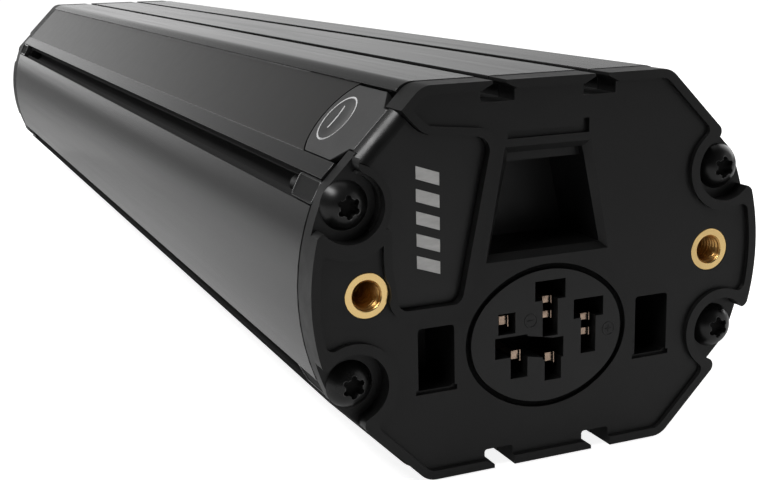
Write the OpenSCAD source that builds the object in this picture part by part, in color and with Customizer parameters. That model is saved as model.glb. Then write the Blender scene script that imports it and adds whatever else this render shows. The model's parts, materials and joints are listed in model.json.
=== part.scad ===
// E-bike downtube battery: an extruded tube closed by two moulded end caps.
// It holds forty round cells in four modules, a control board and a sprung power button.
// Width runs along X, length along Y with the connector end at -Y, and Z is up.
// The origin is the middle of the base. Depths in the caps are measured from the rim inwards.

/* [Pack] */
// Overall length, rim to rim
pack_l = 354; // [352:1:360]
// Overall width
pack_w = 84; // [83:0.5:90]
// Overall height
pack_h = 65; // [64.5:0.5:70]
// Leg of the four 45 degree corner chamfers, as a share of the height
chamfer_share = 0.2892; // [0.285:0.0001:0.293]
// Radius where a chamfer meets the top or the bottom
ridge_r = 4; // [2:0.5:5]
// Bulge of a bowed side, as a share of half its height
bow_share = 0.18; // [0.175:0.001:0.185]

/* [Tube] */
// Wall of the extruded tube at its flats
tube_wall = 2; // [1.6:0.1:2.2]
// Wall of the extruded tube behind its chamfers
chamfer_wall = 3.2; // [3:0.1:3.4]
// Distance of the top and bottom slots from the middle
slot_x = 9.4; // [8:0.1:10]
// Width of a top slot at its neck
slot_neck_w = 2.5; // [2:0.1:3.5]
// Width of a top slot inside
slot_head_w = 6.1; // [5:0.1:6.5]
// Depth of a top slot
slot_depth = 3.5; // [3:0.1:3.9]
// Width of a bottom slot
hook_w = 5.3; // [4.5:0.1:6]
// Depth of a bottom slot
hook_depth = 3.3; // [2.6:0.1:3.5]
// Width of the lip that half closes a bottom slot
hook_lip_w = 1.5; // [0.5:0.1:2]
// Wall round the slots inside the tube
slot_wall = 1.3; // [1:0.1:1.4]
// Width of a side groove at its mouth
mouth_w = 4.5; // [3.8:0.1:4.6]
// Depth of the wide mouth of a side groove
mouth_depth = 1.8; // [1.6:0.1:2.1]
// Width of a side groove behind its mouth
channel_w = 2.6; // [2:0.1:3]
// Angle of a side groove above or below level
groove_a = 28; // [26:1:32]

/* [Screws] */
// Distance of a screw from the nearest side
screw_x_in = 7; // [6.8:0.1:7.4]
// Height of a top screw above the lower end of its chamfer
screw_up = 0.8; // [0.6:0.1:1]
// Diameter of a screw thread
screw_d = 4; // [3.5:0.1:4]
// Length of a screw under its head
screw_l = 20; // [14:1:24]
// Diameter of a screw head
head_d = 8; // [7:0.1:8.4]
// Height of a screw head
head_h = 2.7; // [2.2:0.1:2.9]
// Width of the screw socket
socket_d = 3.9; // [3:0.1:4.2]
// Depth of the screw socket
socket_depth = 1.7; // [1.2:0.1:2]

/* [End caps] */
// Length of the front cap that shows
skirt_l = 6; // [5.5:0.1:7]
// Length of the rear cap that shows
rear_skirt_l = 10; // [8:0.5:12]
// Depth of the screw seats below the rim
seat_depth = 3; // [2.7:0.1:3.4]
// Depth of the flat field inside the rim
field_depth = 0.8; // [0.5:0.1:1]
// Width of the raised rim
rim_w = 1.5; // [1.2:0.1:2.2]
// Radius of the raised ring round a screw
ring_r = 7.4; // [7:0.1:8.4]
// Radius of the hollow that a screw sits in
scallop_r = 5.7; // [5:0.1:6]
// Distance of the hollow's edge on the side away from the chamfer
scallop_low = 4.6; // [4.4:0.1:5]
// Thickness of a cap's face
face_t = 2.4; // [2:0.1:2.6]
// Reach of a cap's spigot into the tube
spigot_l = 8; // [6:0.5:9]
// Wall of a cap's spigot
spigot_t = 1.8; // [1.4:0.1:2.2]
// Thickness of the seal between a cap and the tube
seal_t = 0.3; // [0.25:0.05:0.6]
// Length of the plug in the end of a side groove
plug_l = 10; // [6:0.5:12]
// Depth of a plug below the tube's outline
plug_in = 0.6; // [0.3:0.1:0.9]

/* [Brass inserts] */
// Distance of an insert from the nearest side
insert_x_in = 9.6; // [9.4:0.1:9.8]
// Outer diameter of an insert
insert_d = 7.5; // [7:0.1:7.8]
// Thread diameter of an insert
insert_thread_d = 5; // [4:0.5:5]
// Length of an insert
insert_l = 9; // [6:0.5:10]

/* [Front face] */
// Height of the middle of the connector
connector_z = 21.6; // [21:0.1:21.8]
// Half width of the oval well round the connector
connector_a = 15.3; // [15:0.1:15.5]
// Half height of the oval well round the connector
connector_b = 12.45; // [12.2:0.1:12.6]
// Width of the soft ring round the connector
ring_w = 1; // [0.8:0.1:1.1]
// Length of the connector body
connector_l = 19; // [16:0.5:21]
// Depth of the contact slots
contact_depth = 11; // [9:0.5:12]
// Width of the grip pocket at its top
pocket_top_w = 13.9; // [12.5:0.1:14.5]
// Width of the grip pocket at its bottom
pocket_bottom_w = 20.9; // [19:0.1:21.5]
// Height of the bottom of the grip pocket
pocket_z = 36.5; // [36.2:0.1:36.8]
// Height of the grip pocket
pocket_h = 16.45; // [14:0.1:16.8]
// Depth of the grip pocket
pocket_depth = 14; // [10:0.5:16]
// Distance of a guide window from the middle
window_x = 20.6; // [20.2:0.1:21]
// Height of the middle of a guide window
window_z = 20.65; // [20:0.05:21]
// Width of a guide window
window_w = 6.5; // [5.5:0.1:6.8]
// Height of a guide window
window_h = 10.7; // [9:0.1:11]
// Depth of a guide window
window_depth = 12; // [9:0.5:14]

/* [Display and button] */
// Distance of the label strip from the ridge of its chamfer
strip_in = 1.9; // [1.8:0.1:2.4]
// Width of the label strip
strip_w = 14.9; // [13.8:0.1:15]
// Depth of the strip's outer face below the chamfer
strip_depth = 0.4; // [0.3:0.1:0.5]
// Thickness of the label film
label_t = 0.35; // [0.2:0.05:0.5]
// Depth of the display panel below the rim
panel_depth = 1.5; // [1.3:0.1:1.7]
// Thickness of the display panel
panel_t = 1.7; // [1.6:0.1:1.8]
// Radius over which the panel rolls onto the chamfer
panel_r = 2.8; // [2.2:0.1:2.8]
// Width of the neck between the panel and the button
neck_w = 9; // [8:0.1:9.4]
// Number of light bars
bars = 5; // [3:1:5]
// Width of a light bar
bar_w = 4.1; // [3.4:0.1:4.6]
// Height of a light bar
bar_h = 2.1; // [1.6:0.1:2.4]
// Pitch of the light bars
bar_pitch = 3.6; // [3.2:0.1:3.8]
// Depth of the button's front edge behind the rim
key_front = 4.7; // [4.6:0.1:5]
// Depth of the button's shoulders behind the rim
key_shoulder = 9.6; // [9:0.1:11]
// Depth of the middle of the button's round end
key_arc_y = 17.1; // [16.5:0.1:18]
// Radius of the button's round end
key_arc_r = 8.6; // [8.4:0.1:9]
// Depth of the middle of the button's dish
dish_y = 19.2; // [18.5:0.1:19.6]
// Diameter of the button's dish
dish_d = 8.6; // [7:0.1:9]
// Depth of the button's dish
dish_depth = 0.45; // [0.2:0.05:0.5]
// Thickness of the button's plate
key_t = 1; // [0.9:0.05:1.1]
// Travel of the button
key_travel = 0.5; // [0.3:0.1:0.5]

/* [Cells] */
// Room between the row of four cells and the outer width
cell_side_in = 4.2; // [4:0.1:4.4]
// Room between the rows of three cells and the outer height
cell_top_in = 6.9; // [6.7:0.1:7.2]
// Gap between neighbouring cells
cell_gap = 0.5; // [0.4:0.1:0.8]
// Length of the foam block behind the last module
foam_l = 8.9; // [6:0.1:10]
// Thickness of a tray's end plate
tray_end_t = 1.5; // [1.2:0.1:2]
// Depth to which a tray grips the cells
tray_grip = 7; // [5:0.5:10]
// Thickness of a sheet between modules
sheet_t = 0.8; // [0.4:0.1:1]
// Thickness of a nickel link
link_t = 0.3; // [0.2:0.05:0.5]
// Diameter of a power lead
lead_d = 3; // [2.4:0.1:3.2]

/* [Control board] */
// Depth of the control board behind the rim
board_y = 30; // [28:0.5:32]
// Thickness of the control board
board_t = 1.6; // [1.2:0.1:2]
// Length of the posts that carry the control board
post_l = 20; // [18:0.5:24]
// Diameter of a post
post_d = 4; // [3:0.1:4.4]

/* [Hidden] */
$fn = 72;

// Clearances and overruns
overrun = 1;
fit_gap = 0.05;
// Added to a rounding's radius, so that it crosses the edges beside it and doesn't just touch them
blend_slack = 0.002;
slide_gap = 0.3;
tray_gap = 0.3;
plug_gap = 0.15;
cap_inset = 0.1;
cap_chamfer_in = 0.3;
seal_inset = 0.6;
far = pack_l;

// Tube profile
half_w = pack_w / 2;
mid_z = pack_h / 2;
chamfer_leg = pack_h * chamfer_share;
ridge_x = half_w - chamfer_leg;
cap_ridge_x = ridge_x - cap_chamfer_in * sqrt(2);
inner_ridge_x = ridge_x + tube_wall - chamfer_wall * sqrt(2);
inner_ridge_r = ridge_r - tube_wall + fit_gap;
bow_r = (mid_z - chamfer_leg) * (1 + bow_share ^ 2) / (2 * bow_share);
bow_at = [half_w - bow_r, mid_z];
screw_x = half_w - screw_x_in;
port_r = screw_d / 2;
boss_r = port_r + slot_wall;
screw_z_in = chamfer_leg - screw_up;
screw_at = [screw_x, pack_h - screw_z_in];
groove_dir = [cos(groove_a), sin(groove_a)];
// Distance from a point in a direction out to a bowed side of radius r
function ray_reach(p, dir, r) =
    let (q = p - bow_at, along = q * dir) sqrt(along ^ 2 + r ^ 2 - q * q) - along;
groove_out = ray_reach(screw_at, groove_dir, bow_r);
past_side = 2 * screw_x_in;
slot_lip = 0.6;
slot_slope = 0.9;
hook_lip_rise = 1.5;
hook_off = 0.15;
hook_r = 0.5;
tube_start = skirt_l + seal_t;
rear_start = rear_skirt_l + seal_t;
tube_end = pack_l - rear_start;
spigot_end = tube_start + spigot_l;

// Strip on the left top chamfer, measured along the slope from the ridge
strip_mid = strip_in + strip_w / 2;
cover_floor = strip_depth + panel_t;
bed_floor = strip_depth + key_t + key_travel + slide_gap;
panel_floor = panel_depth + panel_t;
neck_end = key_front - slide_gap;
key_post_r = 1.6;
plunger_r = 1.5;
plunger_l = 1.7;
switch_w = 6;
switch_h = 3;
// Depths below the chamfer under the button
post_end = chamfer_wall;
switch_top = post_end + key_travel + slide_gap;
switch_floor = switch_top + switch_h;
switch_board_w = 9;
switch_board_l = 12;
pcb_t = 1;
shelf_t = 1.6;

// The front face's features keep their share of the section that they were laid out on
layout_w = 84;
layout_h = 65;
wide_share = pack_w / layout_w;
tall_share = pack_h / layout_h;
face_share = min(wide_share, tall_share);

// Front face
insert_x = half_w - insert_x_in;
insert_up = 0.2;
insert_z = mid_z + insert_up;
box_t = 1.6;
window_r = 0.6;
window_step_h = 0.9;
window_step_w = 0.45;
window_step_depth = 0.8;
pocket_ledge_h = 1.6;
pocket_ledge_depth = 2.5;
pocket_bevel = 1.1;
pocket_line_w = 15.1;
pocket_line_h = 1.2;
pocket_line_up = 2.4;
pocket_line_depth = 0.8;
border_w = 1.4;
oval_share = 1 / 3;
// Display panel, with its places measured in from the left side and down from the top
panel_edge_in = 13.7;
panel_edge_down = 22.3;
panel_knee_down = 27.8;
panel_knee_r = 8;
panel_low_in = 14.8;
panel_low_down = 35.5;
panel_low_r = 1.8;
panel_inner_in = 25.7;
panel_top_in = 31.3;
panel_top_down = 9;
panel_top_r = 2.4;
panel_turn_in = 19.4;
panel_turn_down = 7.7;
panel_turn_r = 4.5;
panel_scallop_r = 6.9;
bar_slant = 19;
bar_in = 20.6;
bar_down = 14.75;
bar_x = bar_in * wide_share - half_w;
bar_z = pack_h - bar_down * tall_share;
seal_sink = 0.8;
seal_l = 2.4;
contact_w = 1.8;
contact_t = 0.6;
contact_sink = 2;
tail_w = 0.8;
power_gap = 2.6;
// Contacts, from the middle of the connector
power_at = [[0.5, 4.45], [7.95, 0.45]];
signal_at = [[-7.7, 3.05], [-5.4, -3.25], [1.1, -4.55]];
// Keyhole slot of a power contact
keyhole_w = 5.8;
keyhole_h = 3.4;
keyhole_up = 1.7;
keyhole_stem_w = 2.9;
keyhole_stem_drop = 4.6;
// Slots of the signal contacts
signal_w = 3.2;
signal_h = 3.6;
signal_up = 0.4;
signal_drop = 3.4;
signal_left_w = 4.5;
signal_right_w = 2;

// Cells and trays
pitch_by_width = (pack_w - 2 * cell_side_in) / 4;
pitch_by_height = (pack_h - 2 * cell_top_in + cell_gap) / (sqrt(3) + 1);
cell_pitch = min(pitch_by_width, pitch_by_height);
cell_d = cell_pitch - cell_gap;
cell_hole_r = cell_d / 2 + fit_gap * 2;
row_pitch = cell_pitch * sqrt(3) / 2;
modules = 4;
module_start = board_y + board_t + post_l;
modules_end = pack_l - rear_start - spigot_l - foam_l;
module_l = (modules_end - module_start - (modules - 1) * sheet_t) / modules;
cell_l = module_l - 2 * tray_end_t;
tray_l = tray_end_t + tray_grip;
link_r = 6;
lead_web = 0.7;
lead_reach = sqrt((cell_hole_r + lead_d / 2 + lead_web) ^ 2 - (cell_pitch / 2) ^ 2);
lead_x = cell_pitch * 1.25 + lead_reach * sqrt(3) / 2;
lead_dz = row_pitch / 2 + lead_reach / 2;
post_in = 4.6;
tray_wall_in = 1.6;
can_crimp = 0.5;
can_crimp_y = 2.6;
button_r = 3.6;
button_h = 0.8;

// Row of three, row of four, row of three, numbered as a snake that the links follow
cells_at = [
    [-cell_pitch, row_pitch], [0, row_pitch], [cell_pitch, row_pitch],
    [cell_pitch * 3 / 2, 0], [cell_pitch / 2, 0], [-cell_pitch / 2, 0], [-cell_pitch * 3 / 2, 0],
    [-cell_pitch, -row_pitch], [0, -row_pitch], [cell_pitch, -row_pitch],
];

// Places where the board's posts stand on the first tray
posts_at = [[0, pack_h - post_in], [half_w - post_in, mid_z], [0, post_in], [post_in - half_w, mid_z]];

// Outline tools. An outline is a list of [x, z, corner radius] that runs counterclockwise.
function unit(v) = v / norm(v);
function flat(p) = [p[0], p[1]];
function prev_pt(pts, i) = flat(pts[(i + len(pts) - 1) % len(pts)]);
function next_pt(pts, i) = flat(pts[(i + 1) % len(pts)]);
function left_of(v) = [-v[1], v[0]];
function cross_z(a, b) = a[0] * b[1] - a[1] * b[0];
function turn(pts, i) = cross_z(flat(pts[i]) - prev_pt(pts, i), next_pt(pts, i) - flat(pts[i]));
function corner_half(a, p, b) = acos(unit(a - p) * unit(b - p)) / 2;

// Moves every edge inwards by d and keeps the rounded corners concentric
function inset_pt(a, p, b, d) =
    let (n = left_of(unit(p - a)), m = left_of(unit(b - p))) p + (n + m) * d / (1 + n * m);
function inset(pts, d) = [
    for (i = [0:len(pts) - 1])
        let (p = inset_pt(prev_pt(pts, i), flat(pts[i]), next_pt(pts, i), d))
            [p[0], p[1], pts[i][2] > 0 ? max(0, pts[i][2] - (turn(pts, i) > 0 ? d : -d)) : 0]
];

// What an arc takes off a corner, reaching past the corner so that no edges coincide
module corner_piece(a, p, b, r) {
    half = corner_half(a, p, b);
    middle = unit(unit(a - p) + unit(b - p));
    difference() {
        polygon([p - middle * overrun, p + unit(a - p) * r / tan(half), p + unit(b - p) * r / tan(half)]);
        translate(p + middle * r / sin(half)) circle(r + blend_slack);
    }
}

module rounded(pts) {
    corners = [for (i = [0:len(pts) - 1]) if (pts[i][2] > 0) i];
    difference() {
        union() {
            polygon([for (p = pts) flat(p)]);
            for (i = corners)
                if (turn(pts, i) < 0)
                    corner_piece(prev_pt(pts, i), flat(pts[i]), next_pt(pts, i), pts[i][2]);
        }
        for (i = corners)
            if (turn(pts, i) > 0)
                corner_piece(prev_pt(pts, i), flat(pts[i]), next_pt(pts, i), pts[i][2]);
    }
}

// The chamfers carried on until they meet at mid height
function hexagon(x, z0, r) = [
    [x, z0, r], [x + mid_z - z0, mid_z, 0], [x, pack_h - z0, r],
    [-x, pack_h - z0, r], [z0 - mid_z - x, mid_z, 0], [-x, z0, r],
];

// A hexagon cut by the bowed sides, wall inside the outline and then moved in by d
module bowed(pts, wall, d) {
    intersection() {
        rounded(inset(pts, d));
        both_sides() intersection() {
            translate(bow_at) circle(bow_r - wall - d);
            translate([-slot_x, -pack_h]) square([pack_w, 3 * pack_h]);
        }
    }
}

// Places solids: a profile drawn in X and Z, from one depth behind the front rim to another
module slab(a, b) {
    translate([0, b - pack_l / 2, 0]) rotate([90, 0, 0]) linear_extrude(b - a) children();
}

module at_rear() {
    mirror([0, 1, 0]) children();
}

module both_sides() {
    children();
    mirror([1, 0, 0]) children();
}

// One child at each of the four screws, with X pointing out along the side groove
module at_screws() {
    for (side = [0, 1], low = [0, 1])
        mirror([side, 0]) translate([0, low * pack_h]) mirror([0, low])
            translate(screw_at) rotate(groove_a) children();
}

// Frame of the left top chamfer: X up the slope from the ridge, Y back from the rim, Z out
module on_chamfer() {
    translate([-ridge_x, -pack_l / 2, pack_h]) rotate([0, -45, 0]) children();
}

// A plate under the chamfer, drawn as [distance from the ridge, depth behind the rim]
module chamfer_plate(n0, n1) {
    on_chamfer() translate([0, 0, -n1]) linear_extrude(n1 - n0) mirror([1, 0]) children();
}

// Profiles
module outline(d) {
    bowed(hexagon(ridge_x, 0, ridge_r), 0, d);
}

module cap_outline(d) {
    bowed(hexagon(cap_ridge_x, 0, ridge_r), 0, d);
}

module top_slot(d) {
    neck = slot_neck_w / 2 + d;
    head = slot_head_w / 2 + d;
    translate([0, pack_h]) polygon([
        [-neck, overrun], [-neck, -slot_lip], [-head, -slot_lip - slot_slope], [-head, -slot_depth - d],
        [head, -slot_depth - d], [head, -slot_lip - slot_slope], [neck, -slot_lip], [neck, overrun],
    ]);
}

module hook_slot(d) {
    half = hook_w / 2 + d;
    translate([hook_off, 0]) rounded([
        [hook_lip_w - half, -overrun, 0], [half, -overrun, 0], [half, hook_depth + d, hook_r],
        [-half, hook_depth + d, hook_r], [-half, hook_lip_rise - d, 0],
        [hook_lip_w - half, hook_lip_rise / 2 - d, 0],
    ]);
}

module slots(d) {
    for (x = [-slot_x, slot_x]) {
        translate([x, 0]) top_slot(d);
        translate([x, 0]) hook_slot(d);
    }
}

// Side grooves are open screw channels. The wide mouth ends at the tube's outline.
module grooves(d) {
    at_screws() {
        circle(port_r + d);
        translate([0, -channel_w / 2 - d]) square([groove_out, channel_w + 2 * d]);
        translate([groove_out - mouth_depth - d, -mouth_w / 2 - d]) square([past_side, mouth_w + 2 * d]);
    }
}

// Room inside the tube, less the walls round its slots and screw channels
module cavity(d) {
    slot_half = max(slot_head_w, hook_w) / 2 + slot_wall + d;
    difference() {
        bowed(hexagon(inner_ridge_x, tube_wall, inner_ridge_r), tube_wall, d);
        for (x = [-slot_x, slot_x]) {
            translate([x - slot_half, pack_h - slot_depth - slot_wall - d]) square([2 * slot_half, pack_h]);
            translate([x - slot_half, hook_depth + slot_wall + d - pack_h]) square([2 * slot_half, pack_h]);
        }
        at_screws() {
            circle(boss_r + d);
            translate([0, -boss_r - d]) square([past_side, 2 * (boss_r + d)]);
        }
    }
}

// Channel for the label and the button, from the front rim to the end of the tube
module strip_channel(depth) {
    chamfer_plate(-overrun, depth) translate([strip_in, -overrun]) square([strip_w, pack_l]);
}

// Housing
module housing_tube() {
    color("dimgray") difference() {
        slab(tube_start, tube_end) difference() {
            outline(0);
            cavity(0);
            slots(0);
            grooves(0);
        }
        strip_channel(strip_depth + label_t);
        chamfer_plate(-overrun, bed_floor) key_bed();
        chamfer_plate(0, chamfer_wall + overrun)
            translate([strip_mid, dish_y]) circle(key_post_r + slide_gap);
    }
}

module label_strip() {
    color("#3b3a39") chamfer_plate(strip_depth, strip_depth + label_t) difference() {
        translate([strip_in + fit_gap, key_arc_y])
            square([strip_w - 2 * fit_gap, tube_end - key_arc_y - fit_gap]);
        translate([strip_mid, key_arc_y]) circle(key_arc_r);
    }
}

// Caps
module scallop() {
    circle(scallop_r);
    square([past_side, scallop_r]);
    rotate(scallop_lean) translate([0, -scallop_low]) square([past_side, scallop_low + overrun]);
}

// Corners of the raised body beside a screw, from the scallop's straight sides
scallop_lean = 4;
low_dir = [cos(groove_a + scallop_lean), sin(groove_a + scallop_lean)];
side_edge = screw_at - left_of(low_dir) * scallop_low;
top_edge = screw_at + left_of(groove_dir) * scallop_r;
tip_side = side_edge + low_dir * ray_reach(side_edge, low_dir, bow_r - cap_inset);
tip_down = [tip_side[1] - bow_at[1], bow_at[0] - tip_side[0]];
chamfer_sum = cap_ridge_x + pack_h - cap_inset * sqrt(2);
top_gap = chamfer_sum - top_edge[0] - top_edge[1];
tip_top = top_edge + groove_dir * top_gap / (groove_dir[0] + groove_dir[1]);
tip_side_r = 2;
tip_top_r = 1.4;

module tips() {
    for (side = [0, 1], low = [0, 1])
        mirror([side, 0]) translate([0, low * pack_h]) mirror([0, low]) {
            corner_piece(side_edge, tip_side, tip_side + tip_down, tip_side_r);
            corner_piece(top_edge, tip_top, tip_top + [-past_side, past_side], tip_top_r);
        }
}

module raised_body() {
    difference() {
        cap_outline(cap_inset);
        at_screws() scallop();
        tips();
    }
}

// Where circles about a and b cross, to the right of the way from a to b
function crossing(a, ra, b, rb) =
    let (d = norm(b - a), u = (b - a) / d, m = (d ^ 2 + ra ^ 2 - rb ^ 2) / (2 * d))
        a + u * m - left_of(u) * sqrt(ra ^ 2 - m ^ 2);

// Where a circle about a meets the 45 degree line x + z = sum, on its upper side
function on_diagonal(a, ra, sum) =
    let (out = (sum - a[0] - a[1]) / sqrt(2), up = sqrt(ra ^ 2 - out ^ 2))
        a + [out - up, out + up] / sqrt(2);

// Takes off a corner of the field between a screw's ring and the rim
module field_corner(corner, middle, on_rim) {
    ring_point = screw_at + unit(middle - screw_at) * ring_r;
    difference() {
        polygon([corner + unit(corner - middle) * overrun, on_rim, middle, ring_point]);
        translate(middle) circle(field_r + blend_slack);
    }
}

field_r = 1.3;
rim_in = cap_inset + rim_w;
rim_sum = cap_ridge_x + pack_h - rim_in * sqrt(2);
low_middle = crossing(bow_at, bow_r - rim_in - field_r, screw_at, ring_r + field_r);
top_middle = on_diagonal(screw_at, ring_r + field_r, rim_sum - field_r * sqrt(2));

module field() {
    difference() {
        cap_outline(rim_in);
        at_screws() circle(ring_r);
        for (side = [0, 1], low = [0, 1])
            mirror([side, 0]) translate([0, low * pack_h]) mirror([0, low]) {
                field_corner(crossing(bow_at, bow_r - rim_in, screw_at, ring_r), low_middle,
                    bow_at + unit(low_middle - bow_at) * (bow_r - rim_in));
                field_corner(on_diagonal(screw_at, ring_r, rim_sum), top_middle,
                    top_middle + [field_r, field_r] / sqrt(2));
            }
    }
}

// A cap whose visible part has the length skirt
module cap_blank(skirt) {
    inner_end = skirt + seal_t + spigot_l;
    difference() {
        union() {
            slab(0, seat_depth) raised_body();
            slab(seat_depth, skirt) cap_outline(cap_inset);
            slab(skirt, inner_end) cavity(fit_gap);
            slab(field_depth, field_depth + insert_l) at_inserts() circle(insert_d / 2 + box_t);
        }
        slab(field_depth + face_t, inner_end + overrun) difference() {
            cavity(fit_gap + spigot_t);
            at_inserts() circle(insert_d / 2 + box_t);
        }
        fastener_holes();
    }
}

module at_inserts() {
    for (x = [-insert_x, insert_x]) translate([x, insert_z]) children();
}

module fastener_holes() {
    slab(0, far) at_screws() circle(port_r + slide_gap);
    slab(0, far) at_inserts() circle(insert_d / 2 + fit_gap);
}

module rear_cap() {
    color("#3a3a3c") difference() {
        at_rear() difference() {
            cap_blank(rear_skirt_l);
            slab(-overrun, field_depth) field();
        }
        slab(0, pack_l) slots(0);
    }
}

// Front face features
module oval(a, b) {
    c = a * oval_share;
    r = a - c;
    d = (c ^ 2 - (b - r) ^ 2) / (2 * (b - r));
    big = b + d;
    reach = c + r * c / norm([c, d]);
    for (x = [-c, c]) translate([x, 0]) circle(r);
    intersection() {
        translate([0, -d]) circle(big);
        translate([0, d]) circle(big);
        translate([-reach, -b]) square([2 * reach, 2 * b]);
    }
}

module at_connector() {
    scale(face_share) translate([0, connector_z]) children();
}

module pocket_shape(d) {
    scale(face_share) polygon([
        [-pocket_bottom_w / 2 - d, pocket_z - d], [pocket_bottom_w / 2 + d, pocket_z - d],
        [pocket_top_w / 2 + d, pocket_z + pocket_h + d], [-pocket_top_w / 2 - d, pocket_z + pocket_h + d],
    ]);
}

module window_shape(d) {
    w = window_w / 2 + d;
    h = window_h / 2 + d;
    rounded([[w, -h, window_r], [w, h, window_r], [-w, h, window_r], [-w, -h, window_r]]);
}

module at_windows() {
    scale(face_share) for (x = [-window_x, window_x]) translate([x, window_z]) children();
}

// Display panel outline, from the screw round to the neck that reaches the button
function on_slope(s) = [-ridge_x - s * sqrt(1 / 2), pack_h - s * sqrt(1 / 2)];
neck_start = strip_mid - neck_w / 2;
neck_stop = strip_mid + neck_w / 2;
screw_pt = [-screw_x, pack_h - screw_z_in];
neck_out = [-overrun, overrun];
function panel_pt(side, down, r) = [side * wide_share - half_w, pack_h - down * tall_share, r * face_share];
function neck_pt(p) = [p[0], p[1], 0];
panel_pts = [
    neck_pt(screw_pt),
    panel_pt(panel_edge_in, panel_edge_down, 0),
    panel_pt(panel_edge_in, panel_knee_down, panel_knee_r),
    panel_pt(panel_low_in, panel_low_down, panel_low_r),
    panel_pt(panel_inner_in, panel_low_down, panel_low_r),
    panel_pt(panel_top_in, panel_top_down, panel_top_r),
    panel_pt(panel_turn_in, panel_turn_down, panel_turn_r),
    neck_pt(on_slope(neck_start)),
    neck_pt(on_slope(neck_start) + neck_out),
    neck_pt(on_slope(neck_stop) + neck_out),
    neck_pt(on_slope(neck_stop)),
];

module panel_outline(d) {
    difference() {
        rounded(inset(panel_pts, d));
        translate(screw_pt) circle(panel_scallop_r + d);
    }
}

module front_field() {
    difference() {
        field();
        panel_outline(-border_w);
        translate(screw_pt) circle(panel_scallop_r + border_w);
    }
}

module pocket_bevel_cut() {
    hull() {
        slab(field_depth - fit_gap, field_depth) pocket_shape(pocket_bevel);
        slab(field_depth + pocket_bevel, field_depth + pocket_bevel + fit_gap) pocket_shape(0);
    }
}

module pocket_cut() {
    slab(-overrun, pocket_ledge_depth + field_depth) pocket_shape(0);
    slab(0, pocket_depth) difference() {
        pocket_shape(0);
        scale(face_share) translate([-pocket_bottom_w, pocket_z + pocket_h - pocket_ledge_h])
            square([2 * pocket_bottom_w, pocket_h]);
    }
    pocket_bevel_cut();
}

module window_cut() {
    slab(0, window_depth) at_windows() window_shape(0);
    slab(0, field_depth + window_step_depth) at_windows()
        translate([-window_w / 2 - window_step_w, -window_h / 2 - window_step_h / 2])
            square([window_w + 2 * window_step_w, window_step_h]);
}

module pocket_line() {
    scale(face_share) translate([-pocket_line_w / 2, pocket_z + pocket_h + pocket_line_up]) {
        square([pocket_line_w, pocket_line_h]);
        translate([pocket_line_w - pocket_line_h, 0]) square([pocket_line_h, 2 * pocket_line_h]);
    }
}

module at_bars() {
    translate([bar_x, bar_z]) scale(face_share) children();
}

module display_window() {
    at_bars() translate([-bar_w / 2 - overrun, -(bars - 1) * bar_pitch - bar_h - overrun])
        square([bar_w + 2 * overrun, (bars - 1) * bar_pitch + 2 * bar_h + 2 * overrun]);
}

module front_boxes() {
    slab(field_depth, pocket_depth + box_t) pocket_shape(box_t);
    slab(field_depth, window_depth + box_t) at_windows() window_shape(box_t);
    slab(field_depth, spigot_end) at_connector() oval(connector_a + box_t, connector_b + box_t);
    intersection() {
        slab(panel_depth, panel_floor + box_t) panel_outline(-box_t);
        slab(0, far) outline(tube_wall);
    }
}

// Shelf that carries the switch board under the button
module switch_shelf() {
    shelf_n = switch_floor + pcb_t;
    chamfer_plate(shelf_n, shelf_n + shelf_t)
        translate([strip_mid - switch_board_w / 2, skirt_l])
            square([switch_board_w, dish_y + switch_board_l / 2 - skirt_l]);
    chamfer_plate(chamfer_wall + 2 * fit_gap, shelf_n + shelf_t)
        translate([strip_mid - switch_board_w / 2, skirt_l])
            square([switch_board_w, dish_y - switch_board_l / 2 - skirt_l - slide_gap]);
}

module front_cap() {
    color("#262628") difference() {
        union() {
            cap_blank(skirt_l);
            front_boxes();
            switch_shelf();
        }
        slab(-overrun, field_depth) front_field();
        slab(-overrun, panel_floor) panel_outline(0);
        chamfer_plate(-overrun, cover_floor)
            translate([neck_start, -overrun]) square([neck_w, skirt_l + 2 * overrun]);
        chamfer_plate(-overrun, bed_floor)
            translate([neck_start, neck_end]) square([neck_w, skirt_l]);
        slab(0, display_back + overrun) display_window();
        pocket_cut();
        window_cut();
        slab(0, field_depth + pocket_line_depth) pocket_line();
        slab(0, far) at_connector() oval(connector_a - 2 * ring_w, connector_b - 2 * ring_w);
        slab(0, field_depth + connector_l / 2) at_connector() oval(connector_a, connector_b);
        slab(0, far) slots(0);
        fastener_holes();
    }
}

module cap_seal(skirt) {
    slab(skirt, skirt + seal_t) difference() {
        outline(seal_inset);
        cavity(0);
        slots(seal_inset);
        grooves(seal_inset);
    }
}

module front_seal() {
    color("black") difference() {
        cap_seal(skirt_l);
        strip_channel(bed_floor);
    }
}

module rear_seal() {
    color("black") difference() {
        at_rear() cap_seal(rear_skirt_l);
        slab(0, pack_l) slots(seal_inset);
        strip_channel(strip_depth + label_t);
    }
}

// Screws with a round head and a six lobed socket
module screw_set() {
    dome_r = (head_h ^ 2 + (head_d / 2) ^ 2) / (2 * head_h);
    lobes = 6;
    lobe_r = socket_d / 8;
    difference() {
        union() {
            slab(seat_depth, seat_depth + screw_l) at_screws() circle(port_r - fit_gap * 2);
            slab(seat_depth - head_h, seat_depth) at_screws() circle(head_d / 2);
        }
        at_each_head() difference() {
            translate([0, 0, -head_h]) cylinder(r = head_d, h = 2 * head_h);
            translate([0, 0, head_h - dome_r]) sphere(dome_r);
            translate([0, 0, -head_h]) cylinder(r = head_d, h = head_h + fit_gap);
        }
        slab(seat_depth - head_h - overrun, seat_depth - head_h + socket_depth) at_screws() {
            circle(socket_d / 2 - lobe_r);
            for (i = [1:lobes])
                rotate(i * 360 / lobes) translate([socket_d / 2 - lobe_r, 0]) circle(lobe_r);
        }
    }
}

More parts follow.
